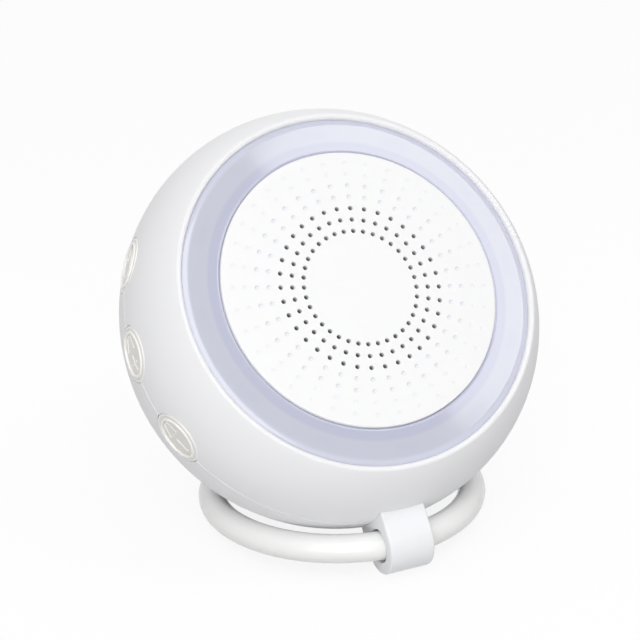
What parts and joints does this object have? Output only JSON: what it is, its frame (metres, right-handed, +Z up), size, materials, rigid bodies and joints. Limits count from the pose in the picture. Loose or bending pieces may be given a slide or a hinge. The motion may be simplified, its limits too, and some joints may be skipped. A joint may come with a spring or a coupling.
{
  "type": "white noise sound machine",
  "caption": "Round portable white noise machine with a flat speaker disc inside a light ring, side buttons and a swinging hanging ring under its body.",
  "frame": {"origin": "on the floor, under the middle of the bounding box", "axes": "+Z up, the speaker face looks towards -Y and up, +X to the right as seen from the front"},
  "size_m": [0.09, 0.0822, 0.0844],
  "materials": {
    "white_shell": "satin",
    "speaker_disc": "satin",
    "diffuser": "gloss",
    "lug_plastic": "satin",
    "ring_rubber": "satin",
    "button_rubber": "satin",
    "white_inner_plastic": "matte",
    "black_inner_plastic": "matte",
    "circuit_board": "satin",
    "flex_circuit": "satin",
    "led_body": "satin",
    "components": "satin",
    "foam": "matte",
    "pressed_steel": "satin",
    "speaker_paper": "matte",
    "copper_coil": "satin",
    "ferrite": "matte",
    "zinc_steel": "satin",
    "screw_steel": "satin",
    "socket_steel": "satin",
    "battery_foil": "satin",
    "lead_sleeve": "satin"
  },
  "bodies": {
    "housing": {"front_shell": "white_shell", "rear_shell": "white_shell", "ring_lug": "lug_plastic", "speaker_grille": "speaker_disc", "light_ring": "diffuser", "inner_frame": "white_inner_plastic", "led_board": "circuit_board", "leds": "led_body", "speaker_gasket": "foam", "speaker_basket": "pressed_steel", "speaker_cone": "speaker_paper", "voice_coil": "copper_coil", "speaker_magnet": "ferrite", "speaker_yoke": "zinc_steel", "main_board": "circuit_board", "board_components": "components", "usb_socket": "socket_steel", "battery": "battery_foil", "battery_pad": "foam", "left_switches": "components", "right_switches": "components", "left_switch_strip": "flex_circuit", "right_switch_strip": "flex_circuit", "left_switch_carrier": "black_inner_plastic", "right_switch_carrier": "black_inner_plastic", "shell_screws": "screw_steel", "frame_screws": "screw_steel", "board_screws": "screw_steel", "carrier_screws": "screw_steel", "speaker_leads": "lead_sleeve", "battery_leads": "lead_sleeve", "light_leads": "lead_sleeve"},
    "ring": {"hanging_ring": "ring_rubber"},
    "power_button_body": {"power_button": "button_rubber", "power_plunger": "components"},
    "volume_up_button_body": {"volume_up_button": "button_rubber", "volume_up_plunger": "components"},
    "volume_down_button_body": {"volume_down_button": "button_rubber", "volume_down_plunger": "components"},
    "timer_button_body": {"timer_button": "button_rubber", "timer_plunger": "components"},
    "sound_button_body": {"sound_button": "button_rubber", "sound_plunger": "components"},
    "light_button_body": {"light_button": "button_rubber", "light_plunger": "components"}
  },
  "joints": [
    {"name": "ring_swing", "type": "hinge", "parent": "housing", "child": "ring", "pos_m": [0, -0.03488, 0.006], "axis": [-1, 0, 0], "range_deg": [-0.7, 260]},
    {"name": "power_press", "type": "slide", "parent": "housing", "child": "power_button_body", "axis": [0.9063, -0.2777, -0.3186], "range_m": [0, 0.0006], "stiffness_N_per_m": 1500},
    {"name": "volume_up_press", "type": "slide", "parent": "housing", "child": "volume_up_button_body", "axis": [1, 0, 0], "range_m": [0, 0.0006], "stiffness_N_per_m": 1500},
    {"name": "volume_down_press", "type": "slide", "parent": "housing", "child": "volume_down_button_body", "axis": [0.9063, 0.2777, 0.3186], "range_m": [0, 0.0006], "stiffness_N_per_m": 1500},
    {"name": "timer_press", "type": "slide", "parent": "housing", "child": "timer_button_body", "axis": [-0.9063, -0.2777, -0.3186], "range_m": [0, 0.0006], "stiffness_N_per_m": 1500},
    {"name": "sound_press", "type": "slide", "parent": "housing", "child": "sound_button_body", "axis": [-1, 0, 0], "range_m": [0, 0.0006], "stiffness_N_per_m": 1500},
    {"name": "light_press", "type": "slide", "parent": "housing", "child": "light_button_body", "axis": [-0.9063, 0.2777, 0.3186], "range_m": [0, 0.0006], "stiffness_N_per_m": 1500}
  ]
}
